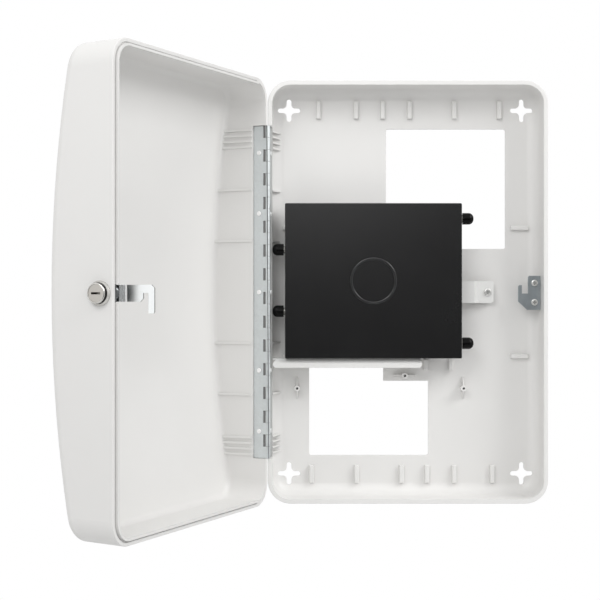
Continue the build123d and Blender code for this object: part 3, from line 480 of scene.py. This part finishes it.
def paint_bend_highlight(material, colour):
    """A painted highlight along the line where the latch's sheet was bent, where the finish is
    made less metallic.
    """
    pin, _, into_depth = door_lines()
    tree = material.node_tree
    shader = principled(material)
    bend = slice_mask(tree, pin, into_depth, LATCH_BEND)
    layer(tree, shader, bend, colour)
    satin = add_node(tree, "ShaderNodeMapRange", inputs={"To Min": 1.0, "To Max": 0.15})
    join(tree, bend, satin.inputs["Value"])
    join(tree, satin.outputs["Result"], shader.inputs["Metallic"])


def shade_cut_edges(material, colour, most):
    """Painted shade on the cut edges of a flat piece that lies across the lock's axis."""
    tree = material.node_tree
    facing = dot(tree, add_node(tree, "ShaderNodeTexCoord").outputs["Normal"],
                 joint_named("latch_turn")["axis"])
    size = add_node(tree, "ShaderNodeMath", operation="ABSOLUTE")
    cut = add_node(tree, "ShaderNodeMapRange", inputs={
        "From Min": 0.3, "From Max": 0.7, "To Min": 1.0, "To Max": 0.0})
    join(tree, facing, size.inputs[0])
    join(tree, size.outputs[0], cut.inputs["Value"])
    layer(tree, principled(material), cut.outputs["Result"], colour, most)


def dress(material, *names):
    """Give CAD nodes a finish."""
    for name in names:
        for slot in frame["nodes"][name].material_slots:
            slot.material = material


# What a user may change

class ShellLook(bpy.types.PropertyGroup):
    """The moulded plastic"""
    colour: bpy.props.FloatVectorProperty(
        name="Plastic colour", description="Colour of the moulded tray and door",
        subtype="COLOR", size=3, min=0.0, max=1.0, default=(0.82, 0.813, 0.798))
    roughness: bpy.props.FloatProperty(
        name="Plastic roughness", description="How matt the moulded plastic is",
        subtype="FACTOR", min=0.0, max=1.0, default=0.42)
    grain: bpy.props.FloatProperty(
        name="Grain size", description="Size of the plastic's fine grain in millimetres",
        min=0.1, max=5.0, default=0.7)


class MetalLook(bpy.types.PropertyGroup):
    """The hinge, the keeper and the lock"""
    hinge: bpy.props.FloatVectorProperty(
        name="Hinge colour", description="Colour of the piano hinge's leaves",
        subtype="COLOR", size=3, min=0.0, max=1.0, default=(0.70, 0.735, 0.745))
    keeper: bpy.props.FloatVectorProperty(
        name="Keeper colour", description="Colour of the keeper plate",
        subtype="COLOR", size=3, min=0.0, max=1.0, default=(0.26, 0.285, 0.30))
    chrome: bpy.props.FloatVectorProperty(
        name="Lock colour", description="Colour of the lock's plating",
        subtype="COLOR", size=3, min=0.0, max=1.0, default=(0.66, 0.65, 0.62))


class AccessPointLook(bpy.types.PropertyGroup):
    """The access point's cover"""
    colour: bpy.props.FloatVectorProperty(
        name="Cover colour", description="Colour of the access point's cover",
        subtype="COLOR", size=3, min=0.0, max=1.0, default=(0.0065, 0.0065, 0.0068))
    roughness: bpy.props.FloatProperty(
        name="Cover roughness", description="How matt the cover is",
        subtype="FACTOR", min=0.0, max=1.0, default=0.25)


class StudioLook(bpy.types.PropertyGroup):
    """The camera and the floor"""
    camera_distance: bpy.props.FloatProperty(
        name="Camera distance", description="From the camera to the tray's rim",
        unit="LENGTH", subtype="DISTANCE", min=0.1, default=1.481)
    camera_across: bpy.props.FloatProperty(
        name="Camera place", description="The camera's X in the part's frame",
        unit="LENGTH", subtype="DISTANCE", default=-0.1156)
    lens: bpy.props.FloatProperty(
        name="Lens", description="Focal length for a 36 mm sensor, in millimetres",
        unit="CAMERA", min=10.0, default=83.04)
    horizon_shift: bpy.props.FloatProperty(
        name="Horizon shift", description="How far the horizon stands above the picture's middle",
        default=-0.0132)
    floor_drop: bpy.props.FloatProperty(
        name="Floor drop", description="From the enclosure's foot down to the floor",
        unit="LENGTH", subtype="DISTANCE", min=0.0, default=0.68)


# Operators, one for each group of pieces

class ENCLOSURE_OT_effects(bpy.types.Operator):
    """Build the shader groups that the finishes share"""
    bl_idname = "enclosure.effects"
    bl_label = "Shared effects"

    def execute(self, context):
        build_grain_group()
        build_handling_group()
        build_edge_group()
        build_brushed_group()
        build_spangle_group()
        build_crevice_shade_group()
        return {"FINISHED"}


class ENCLOSURE_OT_shell(bpy.types.Operator):
    """Finish the moulded tray and door"""
    bl_idname = "enclosure.shell"
    bl_label = "Tray and door"

    def execute(self, context):
        look = context.scene.shell_look
        plain = tuple(look.colour)
        plastic = moulded_plastic("moulded_white", plain, shade(plain, 0.975), look.roughness,
                                  look.grain, grain_depth_mm=0.03, coat=0.25)
        pin, to_free_side, into_depth = door_lines()
        # Painted shadow in the slots behind the hinge's notches.
        slot_shade = ((pin, into_depth, DOOR_SLOTS), (pin, to_free_side, LEAF_RECESS))
        paint_shade_slices(plastic, slot_shade, (0.1, 0.1, 0.1), most=0.85)
        # Painted shade that dims the highlight on the door's rounded rim.
        rim_shade = ((pin, into_depth, DOOR_RIM), (pin, to_free_side, DOOR_WALL))
        paint_shade_slices(plastic, rim_shade, (0.4, 0.4, 0.39), most=0.17)
        # Painted shade on the ledge behind the base leaf, beside the barrel.
        ledge_shade = ((pin, TO_THE_RIGHT, LEDGE_WIDTH), (pin, TO_THE_WALL, LEDGE_DEPTH))
        paint_shade_slices(plastic, ledge_shade, (0.3, 0.3, 0.295), most=0.55)
        dress(plastic, "base_tray", "door_shell")
        return {"FINISHED"}


class ENCLOSURE_OT_hinge(bpy.types.Operator):
    """Finish the piano hinge and its rivets"""
    bl_idname = "enclosure.hinge"
    bl_label = "Piano hinge"

    def execute(self, context):
        plain = tuple(context.scene.metal_look.hinge)
        leaf = zinc_coated("hinge_zinc", plain, shade(plain, 1.12), rough=0.42,
                           flake_mm=2.2)
        pin = joint_named("door_swing")["pos_m"]
        # Painted dark reflection in a line down the barrel's front.
        barrel_dark_reflection = ((pin, ACROSS_BARREL_LINE, BARREL_LINE), (pin, TO_THE_WALL, BARREL_FRONT))
        paint_shade_slices(leaf, barrel_dark_reflection, (0.05, 0.05, 0.055), most=0.8)
        dress(leaf, "hinge_leaf_base", "hinge_leaf_door")
        steel = rolled_metal("pin_steel", (0.6, 0.61, 0.62), (0.7, 0.7, 0.7), rough=0.3)
        dress(steel, "hinge_pin")
        # The rivet heads are near white, a painted highlight on their domes.
        rivet = plated_metal("rivet_painted_highlight", (0.98, 0.98, 0.98), (0.93, 0.93, 0.93),
                             rough=0.45, metallic=0.1)
        dress(rivet, "hinge_rivets_base", "hinge_rivets_door")
        return {"FINISHED"}


class ENCLOSURE_OT_brackets(bpy.types.Operator):
    """Finish the shelf, the strap and their screws"""
    bl_idname = "enclosure.brackets"
    bl_label = "Shelf and strap"

    def execute(self, context):
        paint = coated_steel("bracket_white", (0.8, 0.8, 0.785), (0.77, 0.77, 0.755),
                             rough=0.4, peel_mm=1.2, edge_mm=0.4)
        dress(paint, "ap_shelf", "mounting_strap")
        screw = plated_metal("screw_zinc", (0.85, 0.85, 0.83), (0.72, 0.72, 0.7),
                             rough=0.32, gap_shade=0.6)
        dress(screw, "ap_shelf_screws", "strap_screws", "strap_ap_screws", "ap_back_screws",
              "keeper_screws")
        return {"FINISHED"}


class ENCLOSURE_OT_access_point(bpy.types.Operator):
    """Finish the access point and its antenna sockets"""
    bl_idname = "enclosure.access_point"
    bl_label = "Access point"

    def execute(self, context):
        look = context.scene.access_point_look
        plain = tuple(look.colour)
        cover = moulded_plastic("cover_black", plain, shade(plain, 1.25), look.roughness,
                                grain_mm=0.5, grain_depth_mm=0.02, rubbed=0.03)
        dress(cover, "ap_front_cover")
        ring = moulded_plastic("ring_black", (0.02, 0.02, 0.0205), (0.026, 0.026, 0.027),
                               rough=0.1, grain_mm=0.8, grain_depth_mm=0.01, edge_mm=0.9)
        dress(ring, "ap_light_ring")
        back = rolled_metal("back_aluminium", (0.55, 0.55, 0.56), (0.65, 0.65, 0.66), rough=0.4)
        dress(back, "ap_back_plate")
        board = circuit_board("board_green", (0.01, 0.09, 0.03), (0.03, 0.16, 0.06))
        dress(board, "ap_circuit_board")
        nickel = plated_metal("socket_nickel", (0.62, 0.61, 0.57), (0.5, 0.49, 0.46), rough=0.22)
        dress(nickel, "antenna_sockets", "antenna_socket_nuts")
        cap = moulded_plastic("cap_black", (0.0015, 0.0015, 0.0015), (0.003, 0.003, 0.003),
                              rough=0.2, grain_mm=0.8, grain_depth_mm=0.01)
        principled(cap).inputs["Specular IOR Level"].default_value = 0.12
        dress(cap, "antenna_dust_caps")
        return {"FINISHED"}


class ENCLOSURE_OT_lock(bpy.types.Operator):
    """Finish the lock, the latch hook and the keeper"""
    bl_idname = "enclosure.lock"
    bl_label = "Lock and latch"

    def execute(self, context):
        look = context.scene.metal_look
        self.finish_lock(tuple(look.chrome))
        self.finish_latch()
        self.finish_keeper(tuple(look.keeper))
        return {"FINISHED"}

    def finish_lock(self, chrome):
        """The lock's body and plug with a painted shade band round the collar and painted shade on
        the inner end, and its dull nut.
        """
        turn = joint_named("latch_turn")
        collar = (turn["pos_m"], turn["axis"], LOCK_COLLAR)
        inner_end = (turn["pos_m"], turn["axis"], LOCK_INNER_END)
        dull = shade(chrome, 0.8)
        plate = plated_metal("lock_chrome", chrome, dull, rough=0.14)
        # Painted shade in a band round the collar's side.
        paint_shade_slices(plate, (collar,), (0.02, 0.02, 0.02))
        dress(plate, "lock_body")
        warm = (0.78 * chrome[0], 0.74 * chrome[1], 0.7 * chrome[2])
        face = rolled_metal("plug_nickel", warm, dull, rough=0.34, line_mm=0.3, length_mm=1.0)
        dress(face, "lock_plug")
        # Painted shade on the parts that lie inside the door's wall.
        for finish in (plate, face):
            paint_shade_slices(finish, (inner_end,), (0.08, 0.085, 0.09), most=0.9)
        nut = plated_metal("nut_dull", (0.16, 0.165, 0.17), (0.2, 0.2, 0.2), rough=0.42)
        dress(nut, "lock_nut", "lock_washer")

    def finish_latch(self):
        """The latch hook with a painted dark reflection by the lock and a painted highlight at its
        bend, and its screw darkened as painted shade.
        """
        # The screw and washer are near black, painted shade where they sit behind the door's lip.
        black = plated_metal("screw_dark_as_shade", (0.09, 0.095, 0.1), (0.13, 0.135, 0.14),
                             rough=0.5)
        dress(black, "latch_washer", "latch_screw")
        latch = rolled_metal("latch_zinc", (0.9, 0.93, 0.94), (0.96, 0.97, 0.97),
                             rough=0.24, line_mm=0.5, uneven=0.05)
        # Painted shade on the latch's cut edges, which are seen edge-on.
        shade_cut_edges(latch, (0.3, 0.3, 0.3), most=0.85)
        pin, _, into_depth = door_lines()
        # Painted dark reflection on the latch's part by the lock.
        paint_shade_slices(latch, ((pin, into_depth, LATCH_BY_LOCK),), (0.12, 0.13, 0.135), most=0.96)
        # Painted highlight along the latch's bend.
        paint_bend_highlight(latch, (0.95, 0.95, 0.95))
        dress(latch, "latch_hook")

    def finish_keeper(self, plain):
        """The keeper plate with brighter patches, partly rubbed wear and partly painted
        reflection.
        """
        bright = shade(plain, 1.6)
        steel = rolled_metal("keeper_steel", plain, bright, rough=0.38, line_mm=0.3,
                             length_mm=12.0)
        tree = steel.node_tree
        # Brighter patches: partly rubbed wear, partly painted reflection.
        patches = use_group(tree, "Handling marks", mark_size=9.0, sharpness=0.3)
        layer(tree, principled(steel), patches.outputs["Mask"], bright, most=0.8)
        dress(steel, "keeper_plate")


class ENCLOSURE_OT_studio(bpy.types.Operator):
    """Set up the floor, the lamps, the background and the camera"""
    bl_idname = "enclosure.studio"
    bl_label = "Studio"

    def execute(self, context):
        scene = context.scene
        look = scene.studio_look
        scene.view_settings.view_transform = "Standard"
        self.add_floor(look)
        self.add_world(scene)
        for lamp in LAMPS:
            self.add_lamp(scene, **lamp)
        self.add_camera(scene, look)
        return {"FINISHED"}

    def add_floor(self, look):
        """A round pale floor below the enclosure."""
        level = start_box[0][2] - look.floor_drop
        bpy.ops.mesh.primitive_circle_add(vertices=FLOOR_CORNERS, radius=FLOOR_RADIUS,
                                          fill_type="NGON", location=(*MIDDLE, level))
        floor = bpy.context.object
        floor.name = "studio_floor"
        material, tree, shader = start_finish("floor_pale", roughness=0.6)
        grain = use_group(tree, "Surface grain", mottle_size=300.0)
        tint(tree, shader, grain.outputs["Mottle"], (0.86, 0.86, 0.86), (0.83, 0.83, 0.83))
        floor.data.materials.append(material)

    def add_world(self, scene):
        """A white background, soft light, and for mirrored rays a white room with a dark front."""
        world = bpy.data.worlds.new("studio_world")
        scene.world = world
        world.use_nodes = True
        tree = world.node_tree
        tree.nodes.clear()
        path = add_node(tree, "ShaderNodeLightPath")
        mirrored = add_node(tree, "ShaderNodeMath", operation="MAXIMUM")
        join(tree, path.outputs["Is Glossy Ray"], mirrored.inputs[0])
        join(tree, path.outputs["Is Transmission Ray"], mirrored.inputs[1])
        heading = add_node(tree, "ShaderNodeTexCoord").outputs["Generated"]
        dark = add_node(tree, "ShaderNodeMapRange", interpolation_type="SMOOTHSTEP", inputs={
            "From Min": 0.74, "From Max": 0.966, "To Min": 1.0, "To Max": 0.04})
        join(tree, dot(tree, heading, ROOM_FRONT), dark.inputs["Value"])
        room = add_node(tree, "ShaderNodeBackground", inputs={"Color": WHITE})
        join(tree, dark.outputs["Result"], room.inputs["Strength"])
        white = add_node(tree, "ShaderNodeBackground", inputs={"Color": WHITE, "Strength": 1.0})
        soft = add_node(tree, "ShaderNodeBackground",
                        inputs={"Color": WHITE, "Strength": ROOM_LIGHT})
        unseen = self.mix_by(tree, mirrored.outputs[0], soft.outputs[0], room.outputs[0])
        seen = self.mix_by(tree, path.outputs["Is Camera Ray"], unseen, white.outputs[0])
        out = add_node(tree, "ShaderNodeOutputWorld")
        join(tree, seen, out.inputs["Surface"])

    def mix_by(self, tree, mask, first, second):
        """The first background where a mask is 0 and the second where it is 1."""
        mix = add_node(tree, "ShaderNodeMixShader")
        for number, source in enumerate((mask, first, second)):
            join(tree, source, mix.inputs[number])
        return mix.outputs[0]

    def add_lamp(self, scene, name, place, size, power):
        """A square soft lamp aimed at the middle of the enclosure."""
        data = bpy.data.lights.new(name, "AREA")
        data.shape = "SQUARE"
        data.size = size
        data.energy = power
        lamp = bpy.data.objects.new(name, data)
        lamp.location = place
        aim = bpy.data.objects.new(name + "_aim", None)
        aim.location = (*MIDDLE, 0.0)
        scene.collection.objects.link(lamp)
        scene.collection.objects.link(aim)
        track = lamp.constraints.new("TRACK_TO")
        track.target = aim
        track.track_axis = "TRACK_NEGATIVE_Z"
        track.up_axis = "UP_Y"

    def add_camera(self, scene, look):
        """The camera looks straight at the wall, from left of the tray's middle."""
        data = bpy.data.cameras.new("photo_camera")
        data.sensor_width = SENSOR_WIDTH_MM
        data.lens = look.lens
        data.shift_y = look.horizon_shift
        camera = bpy.data.objects.new("photo_camera", data)
        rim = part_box("base_tray")[0].y
        camera.location = (look.camera_across, rim - look.camera_distance, 0.0)
        camera.rotation_euler = (math.radians(90.0), 0.0, 0.0)
        scene.collection.objects.link(camera)
        scene.camera = camera


class ENCLOSURE_PT_looks(bpy.types.Panel):
    """The enclosure's settings in the sidebar"""
    bl_label = "Enclosure"
    bl_idname = "ENCLOSURE_PT_looks"
    bl_space_type = "VIEW_3D"
    bl_region_type = "UI"
    bl_category = "Enclosure"

    def draw(self, context):
        for place in LOOKS:
            group = getattr(context.scene, place)
            for name in group.__annotations__:
                self.layout.prop(group, name)
        for operator in OPERATORS:
            self.layout.operator(operator.bl_idname)


LOOKS = {
    "shell_look": ShellLook,
    "metal_look": MetalLook,
    "access_point_look": AccessPointLook,
    "studio_look": StudioLook,
}
OPERATORS = (
    ENCLOSURE_OT_effects,
    ENCLOSURE_OT_shell,
    ENCLOSURE_OT_hinge,
    ENCLOSURE_OT_brackets,
    ENCLOSURE_OT_access_point,
    ENCLOSURE_OT_lock,
    ENCLOSURE_OT_studio,
)


def register():
    """Add the settings, the operators and the panel."""
    for look in LOOKS.values():
        bpy.utils.register_class(look)
    for operator in OPERATORS:
        bpy.utils.register_class(operator)
    bpy.utils.register_class(ENCLOSURE_PT_looks)
    for name, look in LOOKS.items():
        setattr(bpy.types.Scene, name, bpy.props.PointerProperty(type=look))


def unregister():
    """Take away what register adds."""
    for name in LOOKS:
        delattr(bpy.types.Scene, name)
    bpy.utils.unregister_class(ENCLOSURE_PT_looks)
    for operator in reversed(OPERATORS):
        bpy.utils.unregister_class(operator)
    for look in reversed(list(LOOKS.values())):
        bpy.utils.unregister_class(look)


def main():
    register()
    bpy.ops.enclosure.effects()
    bpy.ops.enclosure.shell()
    bpy.ops.enclosure.hinge()
    bpy.ops.enclosure.brackets()
    bpy.ops.enclosure.access_point()
    bpy.ops.enclosure.lock()
    bpy.ops.enclosure.studio()


if __name__ == "__main__":
    main()
